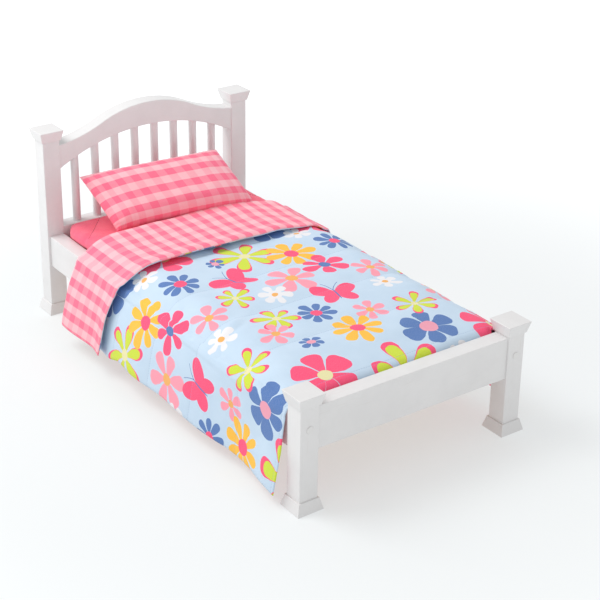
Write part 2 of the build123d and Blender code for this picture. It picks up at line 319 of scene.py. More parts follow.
# ---------------- the printed cotton

# Number of petals; as shares of the petal length their half width, the heart's radius, the inner
# petal's length (over 1 for none) and the joined middle's radius; dyes of petal, heart and outline.
KINDS = {
    "lime": (6, 0.21, 0.16, 0.86, 0.0, LIME, CREAM, HOT_PINK),
    "amber": (8, 0.205, 0.27, 1.2, 0.0, AMBER, HOT_PINK, AMBER),
    "rose": (6, 0.28, 0.24, 1.2, 0.0, HOT_PINK, DENIM, HOT_PINK),
    "pale": (6, 0.26, 0.21, 1.2, 0.0, PALE_PINK, APRICOT, PALE_PINK),
    "denim": (8, 0.21, 0.27, 1.2, 0.0, DENIM, HOT_PINK, DENIM),
    "forget_me_not": (6, 0.30, 0.34, 1.2, 0.0, DENIM, BLUSH, DENIM),
    "big_denim": (6, 0.34, 0.31, 1.2, 0.0, DENIM, BLUSH, DENIM),
    "big_rose": (6, 0.33, 0.2, 1.2, 0.0, HOT_PINK, CREAM, HOT_PINK),
    "daisy": (6, 0.27, 0.19, 1.2, 0.40, CLOUD, APRICOT, CLOUD),
}

# The print's repeat: kind, place across and along the cloth, petal length, turn in degrees.
REPEAT_ACROSS, REPEAT_ALONG = 214.0, 400.0
PRINT = (
    ("big_rose", (-88, 78), 41, 20), ("big_denim", (57, 88), 34, 0), ("daisy", (87, 54), 19, 5),
    ("lime", (-4, 33), 44, -5), ("forget_me_not", (-44, 34), 13, 20), ("denim", (-105, 10), 25, 0),
    ("amber", (46, 9), 32, -7), ("rose", (59, -36), 30, 8), ("pale", (5, -48), 32, -12),
    ("lime", (-73, -52), 25, 25), ("daisy", (-32, -69), 20, 30), ("pale", (97, -71), 23, 12),
    ("daisy", (87, -109), 19, 10), ("lime", (-63, -117), 29, 32), ("denim", (-20, -128), 24, 12),
    ("pale", (-82, -143), 23, 17), ("pale", (31, -154), 21, 8), ("big_denim", (58, -216), 32, 12),
    ("lime", (80, -168), 28, -2), ("amber", (-5, -180), 31, -8), ("forget_me_not", (-63, -179), 14, 25),
    ("big_rose", (-85, -235), 38, 24), ("lime", (0, -262), 47, 28), ("daisy", (70, -264), 20, 12),
)
BUTTERFLIES = (((-48, -13), 24), ((26, -102), -15))   # place on the cloth, and turn in degrees
BUTTERFLY_REACH = 34.0
LAYERS = 3             # how many flowers may reach one face of the cloth
FAR_OFF = 9000.0       # where the flower is that a face doesn't have


def repeats(place, low, high, reach):
    """Every copy of a place in the print's repeat within reach of the cloth between low and high."""
    for i in range(-3, 4):
        for j in range(-2, 3):
            spot = np.array([place[0] + i * REPEAT_ACROSS, place[1] + j * REPEAT_ALONG])
            if np.all(spot > low - reach) and np.all(spot < high + reach):
                yield spot


def lay_print(mesh, centres):
    """Gives each face of the cloth the flowers that reach it, as attributes for the print's nodes."""
    low, high = centres.min(0), centres.max(0)
    count = len(centres)
    places = np.zeros((LAYERS, count, 3))
    places[:, :, 2] = 1.0
    forms, hearts = np.zeros((LAYERS, count, 3)), np.zeros((LAYERS, count, 3))
    places[:, :, :2] = FAR_OFF
    forms[:, :, 0] = 6.0   # petals: never 0, because the nodes divide by it
    dyes = np.ones((LAYERS, 3, count, 4))
    used = np.zeros(count, int)
    for kind, place, size, turn in PRINT:
        petals, half_width, heart, inner, joined, *colours = KINDS[kind]
        for spot in repeats(place, low, high, size):
            near = np.hypot(*(centres - spot).T) < size * 1.06 + 3.0
            for layer in range(LAYERS):
                here = near & (used == layer)
                places[layer, here] = (*spot, size)
                forms[layer, here] = (petals, math.radians(turn), half_width)
                hearts[layer, here] = (heart, inner, joined)
                for part, tone in enumerate(colours):
                    dyes[layer, part, here] = tone
            used[near] += 1
    wings = np.full((count, 3), FAR_OFF)
    for place, turn in BUTTERFLIES:
        for spot in repeats(place, low, high, BUTTERFLY_REACH):
            near = np.hypot(*(centres - spot).T) < BUTTERFLY_REACH
            wings[near] = (*spot, math.radians(turn))

    def store(name, kind, values):
        field = "vector" if kind == "FLOAT_VECTOR" else "color"
        mesh.attributes.new(name, kind, "FACE").data.foreach_set(field, values.ravel().astype(np.float32))

    for layer in range(LAYERS):
        store(f"flower_{layer}_place", "FLOAT_VECTOR", places[layer])
        store(f"flower_{layer}_form", "FLOAT_VECTOR", forms[layer])
        store(f"flower_{layer}_heart", "FLOAT_VECTOR", hearts[layer])
        for part, name in enumerate(("petal", "centre", "outline")):
            store(f"flower_{layer}_{name}", "FLOAT_COLOR", dyes[layer, part])
    store("butterfly", "FLOAT_VECTOR", wings)


def petal_width(f, along):
    """Half width of a petal, 1 at its widest: narrow at the heart, and widest near its round tip."""
    room = f.most(f.minus(1.0, f.math("POWER", f.most(along, 0.0), 4.0)), 0.0)
    return f.times(f.times(along, f.math("SQRT", room)), 1.61)   # 1.61 makes the widest place 1


def draw_flower(f, cloth, ground, layer):
    """The flower of one layer over the ground colour."""
    cx, cy, size = f.split(f.attribute(f"flower_{layer}_place"))
    petals, turn, half_width = f.split(f.attribute(f"flower_{layer}_form"))
    heart, inner, joined = f.split(f.attribute(f"flower_{layer}_heart"))
    x, y, _ = f.split(f.vector("SUBTRACT", cloth, f.join(cx, cy)))
    reach = f.over(f.math("SQRT", f.plus(f.times(x, x), f.times(y, y))), size)
    angle = f.minus(f.math("ARCTAN2", y, x), turn)
    sector = f.over(2 * math.pi, petals)
    half = f.times(sector, 0.5)
    off = f.math("WRAP", angle, half, f.times(half, -1.0))
    petal = f.math("ROUND", f.over(f.minus(angle, off), sector))
    petal = f.math("FLOORED_MODULO", petal, petals)
    hand = f.tree.nodes.new("ShaderNodeTexWhiteNoise")   # so that no two petals are the same
    f.feed(hand.inputs["Vector"], f.join(petal, size, turn))
    longer, wider, leaning = f.split(hand.outputs["Color"])
    reach_of_petal = f.over(reach, f.plus(0.84, f.times(longer, 0.17)))
    lean = f.times(f.minus(leaning, 0.5), f.times(sector, 0.13))
    off = f.plus(off, lean)
    along = f.times(reach_of_petal, f.math("COSINE", off))
    aside = f.magnitude(f.times(reach_of_petal, f.math("SINE", off)))
    width = f.times(half_width, f.plus(0.86, f.times(wider, 0.26)))
    on_petal = f.is_less(aside, f.times(petal_width(f, along), width))
    deep = f.over(along, inner)
    inside = f.is_less(aside, f.times(petal_width(f, deep), f.times(width, 0.78)))
    inside = f.most(inside, f.math("GREATER_THAN", inner, 1.0))
    in_heart = f.is_less(reach, heart)
    in_middle = f.is_less(reach, joined)
    tone = f.mix(inside, f.attribute(f"flower_{layer}_outline", 0), f.attribute(f"flower_{layer}_petal", 0))
    tone = f.mix(in_heart, tone, f.attribute(f"flower_{layer}_centre", 0))
    shown = f.most(f.most(on_petal, in_middle), in_heart)
    return f.mix(shown, ground, tone)


def ellipse(f, x, y, centre, angle, long_half, short_half):
    """1 inside an ellipse whose long axis is turned by angle degrees."""
    c, s = math.cos(math.radians(angle)), math.sin(math.radians(angle))
    dx, dy = f.minus(x, centre[0]), f.minus(y, centre[1])
    a = f.plus(f.times(dx, c / long_half), f.times(dy, s / long_half))
    b = f.minus(f.times(dy, c / short_half), f.times(dx, s / short_half))
    return f.is_less(f.plus(f.times(a, a), f.times(b, b)), 1.0)


def draw_butterfly(f, cloth, ground):
    """A hot pink butterfly with a thin blue body and feelers."""
    cx, cy, turn = f.split(f.attribute("butterfly"))
    dx, dy, _ = f.split(f.vector("SUBTRACT", cloth, f.join(cx, cy)))
    c, s = f.math("COSINE", turn), f.math("SINE", turn)
    x = f.magnitude(f.plus(f.times(dx, c), f.times(dy, s)))
    y = f.minus(f.times(dy, c), f.times(dx, s))
    upper = ellipse(f, x, y, (12.6, 7.4), 46, 16.5, 10.0)
    lower = ellipse(f, x, y, (9.4, -10.0), -58, 13.0, 8.2)
    wings = f.most(upper, lower)
    body = ellipse(f, x, y, (0.0, -2.0), 90, 14.0, 0.9)
    bend = f.times(f.math("POWER", f.over(f.minus(y, 9.0), 14.0), 1.6), 9.0)
    feeler = f.is_less(f.magnitude(f.minus(x, bend)), 0.45)
    span = f.times(f.math("GREATER_THAN", y, 9.0), f.is_less(y, 24.0))
    blue = f.most(body, f.times(feeler, span))
    return f.mix(blue, f.mix(wings, ground, HOT_PINK), DENIM)


def floral_cotton():
    """Light blue cotton printed with flowers, stitched down along the quilting lines."""
    f = Finish("floral_cotton", 0.84, Sheen_Weight=0.1, Sheen_Roughness=0.5, Specular_IOR_Level=0.22)
    flat = f.cloth()
    hand = f.vector("SUBTRACT", f.node("ShaderNodeTexNoise", flat, None, 0.075, 1.0, out=1), (0.5, 0.5, 0.5))
    drawn = f.vector("ADD", flat, f.vector("MULTIPLY", hand, (3.4, 3.4, 0.0)))
    tone = f.mix(f.ramp(f.noise(flat, 0.03, 3.0), 0.3, 0.7), SKY, PALE_SKY)
    for layer in range(LAYERS):
        tone = draw_flower(f, drawn, tone, layer)
    tone = draw_butterfly(f, flat, tone)
    across, along, _ = f.split(flat)
    from_line = f.math("WRAP", f.minus(along, QUILT_LINE), QUILT_PITCH / 2, -QUILT_PITCH / 2)
    dash = f.is_less(f.math("FLOORED_MODULO", across, 3.0), 2.0)
    stitches = f.times(dash, f.is_less(f.magnitude(from_line), 0.28))
    yarn = f.noise(f.vector("MULTIPLY", flat, (3.0, 0.6, 1.0)), 0.9, 2.0, 0.6)
    faded = f.mix(f.times(f.ramp(yarn, 0.35, 0.75), 0.10), tone, CLOUD)
    f.colour(f.mix(f.times(stitches, 0.5), faded, QUILTING_THREAD))
    near_line = f.ramp(f.magnitude(from_line), 0.0, 1.1)
    pressed = f.bump(near_line, 0.25, 0.8)
    weave(f, flat, 0.5, 0.045, pressed)
    return f.material


# ---------------- meshes

def make_piece(name, points, faces, materials, face_materials=None, smooth=True, cloth=None):
    """A mesh object from points in mm. cloth gives each point's place on the flat cloth, in mm."""
    mesh = bpy.data.meshes.new(name)
    mesh.from_pydata((np.asarray(points) * MM).tolist(), [], [tuple(map(int, q)) for q in faces])
    for material in materials:
        mesh.materials.append(material)
    if face_materials is not None:
        mesh.polygons.foreach_set("material_index", np.asarray(face_materials, np.int32))
    mesh.polygons.foreach_set("use_smooth", [smooth] * len(mesh.polygons))
    if cloth is not None:
        layer = mesh.attributes.new("cloth", "FLOAT_VECTOR", "POINT")
        layer.data.foreach_set("vector", np.asarray(cloth, np.float32).ravel())
    mesh.update()
    piece = bpy.data.objects.new(name, mesh)
    bpy.context.scene.collection.objects.link(piece)
    return piece


def vertex_field(piece, field):
    """The places ("co", in metres) or normals ("normal") of the piece's vertices."""
    values = np.empty(len(piece.data.vertices) * 3)
    piece.data.vertices.foreach_get(field, values)
    return values.reshape(-1, 3)


def set_coordinates(piece, points):
    """Moves the piece's vertices to points, in mm."""
    piece.data.vertices.foreach_set("co", (points * MM).ravel())
    piece.data.update()


def apply_modifiers(piece):
    """Replaces the piece's mesh by what its modifiers make of it."""
    shown = piece.evaluated_get(bpy.context.evaluated_depsgraph_get())
    done = bpy.data.meshes.new_from_object(shown)
    old = piece.data
    piece.modifiers.clear()
    piece.data = done
    bpy.data.meshes.remove(old)


def modify(piece, kind, **settings):
    modifier = piece.modifiers.new(kind.lower(), kind)
    for key, value in settings.items():
        setattr(modifier, key, value)


def ripple(points, size, seed=0.0):
    """Smooth unevenness from -1 to 1 over lumps of about size mm."""
    shift = Vector((seed, seed * 1.7, seed * 0.3))
    return np.array([noise.noise(Vector(p) / size + shift) for p in points])


def ripple_grid(u, y, size, seed):
    """The same unevenness, over a grid of places in a plane."""
    spots = np.stack([u.ravel(), y.ravel(), np.zeros(u.size)], 1)
    return ripple(spots, size, seed).reshape(u.shape)


def grid_quads(grid):
    """The faces between neighbours in a grid of vertex numbers."""
    return np.stack([grid[:-1, :-1], grid[:-1, 1:], grid[1:, 1:], grid[1:, :-1]], -1).reshape(-1, 4)


def grid_rim(grid):
    """The vertex numbers round a grid's edge, in order."""
    return np.concatenate([grid[0, :-1], grid[:-1, -1], grid[-1, :0:-1], grid[:0:-1, 0]])


def smooth_step(value, low, high):
    """0 at low, 1 at high, and smooth between."""
    t = np.clip((value - low) / (high - low), 0.0, 1.0)
    return t * t * (3 - 2 * t)


def ring_faces(rings, count, first=0, closed=False):
    """The faces between rings of count points, from number first on. Its ends are capped unless closed."""
    faces = []
    for ring in range(rings if closed else rings - 1):
        here, there = first + ring * count, first + (ring + 1) % rings * count
        for k in range(count):
            after = (k + 1) % count
            faces.append((here + k, here + after, there + after, there + k))
    if not closed:
        last = first + (rings - 1) * count
        faces.append(tuple(range(first + count - 1, first - 1, -1)))
        faces.append(tuple(range(last, last + count)))
    return faces


def rounded_outline(half, corner, steps):
    """Round a rectangle's four corners: each point's arc centre x and y, and its outward x and y."""
    outline = []
    for sx, sy, start in ((1, 1, 0), (-1, 1, 90), (-1, -1, 180), (1, -1, 270)):
        for step in range(steps + 1):
            angle = math.radians(start + 90 * step / steps)
            centre = (sx * (half[0] - corner), sy * (half[1] - corner))
            outline.append((*centre, math.cos(angle), math.sin(angle)))
    return outline


def rounded_box(name, low, high, corner, edge, voxel, material):
    """A padded block, its upright corners rounded by corner and its long edges by edge, as an even mesh."""
    bevel_steps = 8
    half = (high - low) / 2
    middle = (high + low) / 2
    outline = rounded_outline(half, corner, bevel_steps)
    rings = []
    for level in range(2 * bevel_steps + 2):
        lower = level <= bevel_steps
        angle = math.radians(-90 + 90 * (level if lower else level - 1) / bevel_steps)
        inset = edge * (1 - math.cos(angle))
        height = (-half[2] + edge if lower else half[2] - edge) + edge * math.sin(angle)
        ring = [(x + c * (corner - inset), y + s * (corner - inset), height) for x, y, c, s in outline]
        rings.append(np.array(ring) + middle)
    faces = ring_faces(len(rings), len(outline))
    piece = make_piece(name, np.concatenate(rings), faces, [material])
    modify(piece, "REMESH", mode="VOXEL", voxel_size=voxel * MM, use_smooth_shade=True)
    apply_modifiers(piece)
    return piece


# ---------------- mattress and fitted sheet

MATTRESS_CORNER, MATTRESS_EDGE = 20.0, 9.0
TUFTS_ACROSS, TUFTS_ALONG = 76.0, 96.0   # spacing
WELT_HEIGHT, WELT_RADIUS = 4.0, 1.1      # above the mattress's underside
SHEET_CORNER, SHEET_EDGE, SHEET_LIP = 15.0, 8.0, 25.0
RAIL_TOP = 103.5                         # above this the sheet may bulge over the side rails
DART = ((-74.0, 246.0), (-88.0, 229.0), (-106.0, 206.0), (-121.0, 190.0))   # sewn corner, in plan
STITCH_PITCH, STITCH_RADIUS = 3.1, 0.32


def build_mattress(material):
    """A filled pad with dished tufts on its underside."""
    low, high = node_box("mattress")
    inset = np.array([0.6, 0.6, 0.0])
    top = high - inset - [0, 0, 0.5]
    pad = rounded_box("mattress_pad", low + inset, top, MATTRESS_CORNER, MATTRESS_EDGE, 4.0, material)
    modify(pad, "SMOOTH", factor=0.6, iterations=4)
    apply_modifiers(pad)
    points = vertex_field(pad, "co") / MM
    for row in range(-2, 3):
        for column in (-1, 0, 1):
            tuft = np.array([column * TUFTS_ACROSS, row * TUFTS_ALONG + (low[1] + high[1]) / 2])
            near = np.hypot(*(points[:, :2] - tuft).T)
            under = points[:, 2] < low[2] + 6.0
            points[under, 2] += 2.6 * np.exp(-(near[under] / 9.0) ** 2)
    set_coordinates(pad, points)
    return pad


def build_welt(name, corner, rise, radius, material):
    """A corded seam round the mattress, rise mm above its underside."""
    low, high = node_box("mattress")
    half, middle = (high - low) / 2, (high + low) / 2
    sides = 10
    path = rounded_outline(half, corner, 13)
    points = []
    for x, y, out_x, out_y in path:
        for side in range(sides):
            turn = 2 * math.pi * side / sides
            reach = corner + radius * math.cos(turn)
            height = low[2] + rise + radius * math.sin(turn)
            points.append((x + out_x * reach + middle[0], y + out_y * reach + middle[1], height))
    faces = [face[::-1] for face in ring_faces(len(path), sides, closed=True)]
    return make_piece(name, points, faces, [material])


def dart_distance(points):
    """Distance in plan from the nearest of the four sewn corners."""
    plan = np.abs(points[:, :2])
    nearest = np.full(len(points), np.inf)
    line = np.abs(np.array(DART))
    for a, b in zip(line[:-1], line[1:]):
        along = b - a
        t = np.clip(((plan - a) @ along) / (along @ along), 0.0, 1.0)
        nearest = np.minimum(nearest, np.hypot(*(plan - a - t[:, None] * along).T))
    return nearest


def build_sheet(material, thread_material):
    """The fitted sheet: pulled over the mattress, its corners darted, its lip turned under."""
    low, high = node_box("fitted_sheet")
    shell = rounded_box("fitted_sheet_cloth", low, high, SHEET_CORNER, SHEET_EDGE, 3.0, material)
    modify(shell, "SMOOTH", factor=0.5, iterations=3)
    apply_modifiers(shell)
    points, facing = vertex_field(shell, "co") / MM, vertex_field(shell, "normal")
    set_coordinates(shell, ease_sheet(points, facing, low, high))
    open_underside(shell, low, high)
    modify(shell, "SOLIDIFY", thickness=0.7 * MM, offset=-1.0)
    modify(shell, "SUBSURF", levels=1, render_levels=1)
    apply_modifiers(shell)
    above = high[2] + 8.0
    seams = [[Vector((x * side, y, above)) for x, y in DART] for side in (1, -1)]
    return shell, stitch_row("fitted_sheet_stitches", seams, thread_material, shell)


def ease_sheet(points, facing, low, high):
    """Gives the tight sheet soft ripples, puckered darts, and a bulge over the rails at the head."""
    top = smooth_step(points[:, 2], high[2] - 12.0, high[2] - 2.0)
    soft = 1.3 * ripple(points, 46.0, 2.0) + 0.9 * ripple(points, 19.0, 5.0)
    off = dart_distance(points)
    seam = np.exp(-(off / 1.8) ** 2)
    pucker = np.exp(-(off / 11.0) ** 2) * ripple(points, 6.0, 9.0)
    clear_of_post = 1 - smooth_step(points[:, 1], 226.0, 240.0)
    head_end = smooth_step(points[:, 1], 120.0, 170.0) * clear_of_post
    puff = head_end * top * 2.6 * np.exp(-((np.abs(points[:, 0]) - 112.0) / 14.0) ** 2)
    rise = -0.9 + 0.7 * soft * top - 1.3 * seam + 0.7 * pucker + puff
    rise[points[:, 2] < low[2] + 1.5] = 0.0
    points = points + facing * rise[:, None]
    over_rail = smooth_step(points[:, 2], RAIL_TOP, RAIL_TOP + 1.7)
    swell = 5.5 * over_rail * head_end * (1 + 0.4 * ripple(points, 30.0, 4.0))
    points[:, 0] += np.sign(points[:, 0]) * swell * smooth_step(np.abs(points[:, 0]), 108.0, 119.0)
    slack = 4.5 * over_rail
    points[:, 0] = np.clip(points[:, 0], low[0] - slack, high[0] + slack)
    points[:, 1] = np.clip(points[:, 1], low[1], high[1])
    return points


def open_underside(shell, low, high):
    """Cuts away the sheet's underside, up to the lip."""
    cut = bmesh.new()
    cut.from_mesh(shell.data)
    inner = []
    for face in cut.faces:
        x, y, z = (q / MM for q in face.calc_center_median())
        inside = abs(x) < high[0] - SHEET_LIP and low[1] + SHEET_LIP < y < high[1] - SHEET_LIP
        if inside and z < low[2] + 2.0:
            inner.append(face)
    bmesh.ops.delete(cut, geom=inner, context="FACES")
    cut.to_mesh(shell.data)
    cut.free()


def stitch_row(name, lines, material, ground):
    """Short rounded threads laid on the ground piece along lines, one at each pitch, with a gap."""
    tree = BVHTree.FromObject(ground, bpy.context.evaluated_depsgraph_get())
    points, faces = [], []
    sides = 6
    for line in lines:
        run = [0.0]
        for a, b in zip(line[:-1], line[1:]):
            run.append(run[-1] + (b - a).length)
        start = 0.4 * STITCH_PITCH
        while start + STITCH_PITCH < run[-1]:
            ends = []
            for along in (start, start + 0.66 * STITCH_PITCH):
                k = max(i for i in range(len(run) - 1) if run[i] <= along)
                spot = line[k].lerp(line[k + 1], (along - run[k]) / (run[k + 1] - run[k]))
                place, facing, _, _ = tree.ray_cast(spot * MM, Vector((0, 0, -1)), 0.05)
                if place is not None:
                    ends.append(np.array(place) / MM + np.array(facing) * STITCH_RADIUS * 0.5)
            if len(ends) == 2:
                add_thread(points, faces, ends[0], ends[1], STITCH_RADIUS, sides)
            start += STITCH_PITCH
    return make_piece(name, points, faces, [material])


def add_thread(points, faces, a, b, radius, sides):
    """One stitch: a short spindle from a to b."""
    along = (b - a) / np.linalg.norm(b - a)
    side = np.cross(along, (0.0, 0.0, 1.0))
    side /= np.linalg.norm(side)
    up = np.cross(side, along)
    base = len(points)
    profile = ((0.0, 0.35), (0.18, 0.9), (0.5, 1.0), (0.82, 0.9), (1.0, 0.35))
    for share, size in profile:
        centre = a + (b - a) * share - up * radius * 0.5 * (1 - size)
        for k in range(sides):
            turn = 2 * math.pi * k / sides
            points.append(centre + (side * math.cos(turn) + up * math.sin(turn)) * radius * size)
    faces.extend(ring_faces(len(profile), sides, base))


# ---------------- pillow

PILLOW_CORNERS = (   # where its corners lie: low left, low right, high right, high left
    (-87.0, 179.0, 121.5), (95.0, 157.0, 123.5), (81.0, 223.0, 178.0), (-103.0, 240.0, 176.0),
)
PILLOW_CLOTH = (200.0, 100.0)   # each of its two cloths, flat
PILLOW_THICK = 40.0


def seam_gathers(along, from_seam, side, seed):
    """Small folds that run into a seam, for places along it and their distance from it."""
    uneven = 1.4 * ripple_grid(along, side * 40.0, 13.0, seed)
    strength = np.exp(-from_seam / 9.0) * np.minimum(from_seam / 1.6, 1.0) * 1.1
    return strength * np.sin(along * 0.95 + 3.0 * uneven)


def build_pillow(material):
    """Two cloths sewn together round a filling, leaning on the headboard."""
    across, up = 168, 84   # faces
    width, height = PILLOW_CLOTH
    s, t = np.meshgrid(np.linspace(-1, 1, across + 1), np.linspace(-1, 1, up + 1))
    x, y = s * width / 2, t * height / 2
    eased_s, eased_t = (0.5 * q + 0.5 * np.sin(math.pi * q / 2) for q in (s, t))
    a = (eased_s * (1 - 0.022 * (1 - t ** 2)) + 1) / 2   # the seams are drawn in between the corners
    b = (eased_t * (1 - 0.018 * (1 - s ** 2)) + 1) / 2
    corners = np.array(PILLOW_CORNERS)
    shares = ((1 - a) * (1 - b), a * (1 - b), a * b, (1 - a) * b)
    plane = sum(share[:, :, None] * corner for share, corner in zip(shares, corners))
    facing = np.cross(corners[1] - corners[0], corners[3] - corners[0])
    facing /= np.linalg.norm(facing)
    full = np.sqrt(np.clip(1 - np.abs(eased_s) ** 4.0, 0, 1) * np.clip(1 - np.abs(eased_t) ** 2.6, 0, 1))
    lumps = 1.8 * ripple_grid(x, y, 44.0, 11.0) + 0.9 * ripple_grid(x, y, 17.0, 5.0)
    gathers = seam_gathers(x, (1 - np.abs(t)) * height / 2, np.sign(t), 2.0)
    gathers += seam_gathers(y, (1 - np.abs(s)) * width / 2, np.sign(t), 8.0)
    uneven = (lumps + gathers) * np.sqrt(full)
    points = []
    for side, share in ((1, 1.0), (-1, 0.62)):   # the back is pressed against the spindles and the sheet
        low_belly = 1 + 0.3 * side * smooth_step(t, 0.2, -0.8)
        off_plane = side * (PILLOW_THICK * 0.58 * share * low_belly * full + uneven)
        points.append((plane + facing * off_plane[:, :, None]).reshape(-1, 3))
    cloth = np.tile(np.stack([x.ravel(), y.ravel(), np.zeros(x.size)], 1), (2, 1))
    front = np.arange(s.size).reshape(s.shape)
    back = front + s.size
    rim = grid_rim(front)
    back.ravel()[rim] = rim   # the cloths share their edge
    faces = np.concatenate([grid_quads(front), grid_quads(back)[:, ::-1]])
    used, faces = np.unique(faces, return_inverse=True)
    faces = faces.reshape(-1, 4)
    return make_piece("pillow_case", np.concatenate(points)[used], faces, [material], cloth=cloth[used])


# ---------------- quilt

QUILT_LEFT, QUILT_RIGHT = 234.0, 223.0     # hem to middle line, on each side
QUILT_LINE, QUILT_PITCH = -14.0, 76.0      # one quilting line along the cloth, and their spacing
QUILT_FOOT, QUILT_NOTCH = -276.0, -246.0   # tucked end, and the end of the sides beside the foot posts
NOTCH_AT = (108.0, 118.0)                  # where the one changes into the other
BEND_AT, BEND_RADIUS = -240.5, 7.0         # where the tucked end turns down
FOLD_LINE, FREE_EDGE = 160.0, 63.0         # the fold at the head end, and the edge folded back
FOLD_RADIUS = 3.4
HALF_THICK = 2.7
RAIL_CLEAR = 144.0   # the hanging sides stay this far from the middle beside the rails
SECTION = (          # the middle layer across the bed: x and z, from the middle to below the hem
    (0, 121.6), (104, 121.6), (117, 119.2), (127, 113.4), (136.5, 107.2), (144.2, 98.5),
    (152.5, 72), (161.3, 20), (164.5, 0),
)
SECTION_ROUND = 17.0
DRAWN_IN = (         # how far the hanging sides lie inside that section, along the bed
    (-246, 7), (-200, 12), (-150, 12), (-102, 5), (-50, 0), (20, -4), (60, -3), (90, 0),
)
CREASES = (          # middle across and along, direction in degrees, half length, half width, height
    (-105, -98, 28, 26, 6.0, 1.2), (-112, -112, 20, 22, 5.0, -0.9), (-118, -205, -35, 30, 8.0, 1.4),
    (-96, -150, 15, 34, 9.0, -1.0), (60, -70, -12, 40, 9.0, 0.9), (20, -205, 8, 46, 10.0, 0.9),
    (100, -130, -25, 26, 7.0, 1.0), (-128, -20, 60, 24, 6.0, 0.9), (90, 20, -18, 30, 8.0, -0.8),
)


def rounded_section():
    """The section with its corners rounded: arc length, place and outward normal at each step."""
    step = 0.5
    corners = np.array(SECTION, float)
    run = np.concatenate([[0], np.cumsum(np.hypot(*np.diff(corners, axis=0).T))])
    along = np.arange(0, run[-1], step)
    line = np.stack([np.interp(along, run, corners[:, k]) for k in (0, 1)], 1)
    window = int(SECTION_ROUND / step) | 1
    padded = np.pad(line, ((window // 2, window // 2), (0, 0)), mode="reflect", reflect_type="odd")
    line = np.stack([np.convolve(padded[:, k], np.ones(window) / window, "valid") for k in (0, 1)], 1)
    slope = np.gradient(line, axis=0)
    slope /= np.linalg.norm(slope, axis=1)[:, None]
    run = np.concatenate([[0], np.cumsum(np.hypot(*np.diff(line, axis=0).T))])
    return run, line, np.stack([-slope[:, 1], slope[:, 0]], 1)


SECTION_RUN, SECTION_LINE, SECTION_OUT = rounded_section()


def across_bed(u, y, height):
    """x and z of the cloth at u mm from its middle line, height mm above the quilt's middle layer."""
    reach = np.abs(u)
    slack = 3.0 + 4.0 * smooth_step(y, -110.0, -40.0)   # cloth taken up where the side turns down
    taken = smooth_step(reach, 125.0, 175.0) * slack * smooth_step(y, 75.0, 45.0)
    arc = reach / (1 + (np.minimum(y, 60.0) + 80.0) * 0.0002) - taken
    x, z = (np.interp(arc, SECTION_RUN, SECTION_LINE[:, k]) for k in (0, 1))
    out_x, out_z = (np.interp(arc, SECTION_RUN, SECTION_OUT[:, k]) for k in (0, 1))
    hanging = smooth_step(arc, 140.0, 235.0)
    flute = hanging * (1.3 * np.sin(y / 21.0 + 0.6) + 0.7 * np.sin(y / 11.5 + 2.0 + np.sign(u)))
    height = height + flute + hanging
    x = x - np.interp(y, *np.array(DRAWN_IN).T) * smooth_step(arc, 142.0, 195.0)
    x = np.where(z < 106.0, np.maximum(x, RAIL_CLEAR - 0.5 * np.maximum(z - 100.0, 0.0)), x)
    return np.sign(u) * (x + out_x * height), z + out_z * height


def far_side(u):
    """1 on the bed's right side, where the turned back cloth lies flatter."""
    return smooth_step(u, 60.0, 118.0)


def edges_along_bed(u):
    """Where the fold and the free edge lie along the bed, for places u across it."""
    side = np.maximum(0.0, np.abs(u) - 105.0)
    slack = 3.5 * np.exp(-((u + 138.0) / 26.0) ** 2)
    return FOLD_LINE + 0.085 * side - 6.0 * far_side(u), FREE_EDGE + 0.14 * side - slack


def quilt_middle(u, v):
    """Where the quilt's middle layer lies, for places u across and v along the flat cloth."""
    fold, edge = edges_along_bed(u)
    far = far_side(u)
    turned = np.clip((v - fold) / FOLD_RADIUS, 0.0, math.pi)
    back = np.maximum(0.0, v - fold - math.pi * FOLD_RADIUS)
    y = np.where(v <= fold, v, fold + FOLD_RADIUS * np.sin(turned) - back)
    height = FOLD_RADIUS * (1 - np.cos(turned)) * (1 - 0.42 * far)
    height += 3.2 * (1 - far) * smooth_step(y, edge + 22.0, edge) * (back > 0)
    height -= 0.6 * (back > 0) * smooth_step(back, 0, 20) * smooth_step(y, edge + 12.0, edge + 40.0)
    top = smooth_step(np.abs(u), 128.0, 100.0)
    height -= 1.6 * far * top * smooth_step(y, 40.0, 70.0)
    sag = ripple_grid(u, y, 92.0, 3.0) * 2.2 + ripple_grid(u, y, 34.0, 7.0) * 0.9
    towards_foot = 3.0 * top * smooth_step(y, -180.0, -240.0)
    height = height + (0.4 + sag) * (0.35 + 0.65 * top) + 1.4 * crease_field(u, y) - towards_foot
    x, z = across_bed(u, y, height)
    tucked = smooth_step(np.abs(u), NOTCH_AT[1], NOTCH_AT[0])
    past = np.maximum(0.0, BEND_AT - v)
    bend = np.minimum(past / BEND_RADIUS, math.pi / 2)
    down = np.maximum(0.0, past - BEND_RADIUS * math.pi / 2)
    tuck_y = BEND_AT - BEND_RADIUS * np.sin(bend)
    tuck_drop = BEND_RADIUS * (1 - np.cos(bend)) + down
    side_y = np.maximum(v, QUILT_NOTCH - 0.5)
    y = np.where(past > 0, tucked * tuck_y + (1 - tucked) * side_y, y)
    return np.stack([x, y, z - tucked * tuck_drop], -1)


def crease_field(u, y):
    """Soft folds that run from the bed's edges towards its middle."""
    total = np.zeros_like(u)
    for at_u, at_y, angle, length, width, depth in CREASES:
        c, s = math.cos(math.radians(angle)), math.sin(math.radians(angle))
        along = (u - at_u) * c + (y - at_y) * s
        off = -(u - at_u) * s + (y - at_y) * c
        total += depth * np.exp(-(off / width) ** 2 - (along / length) ** 2)
    return total


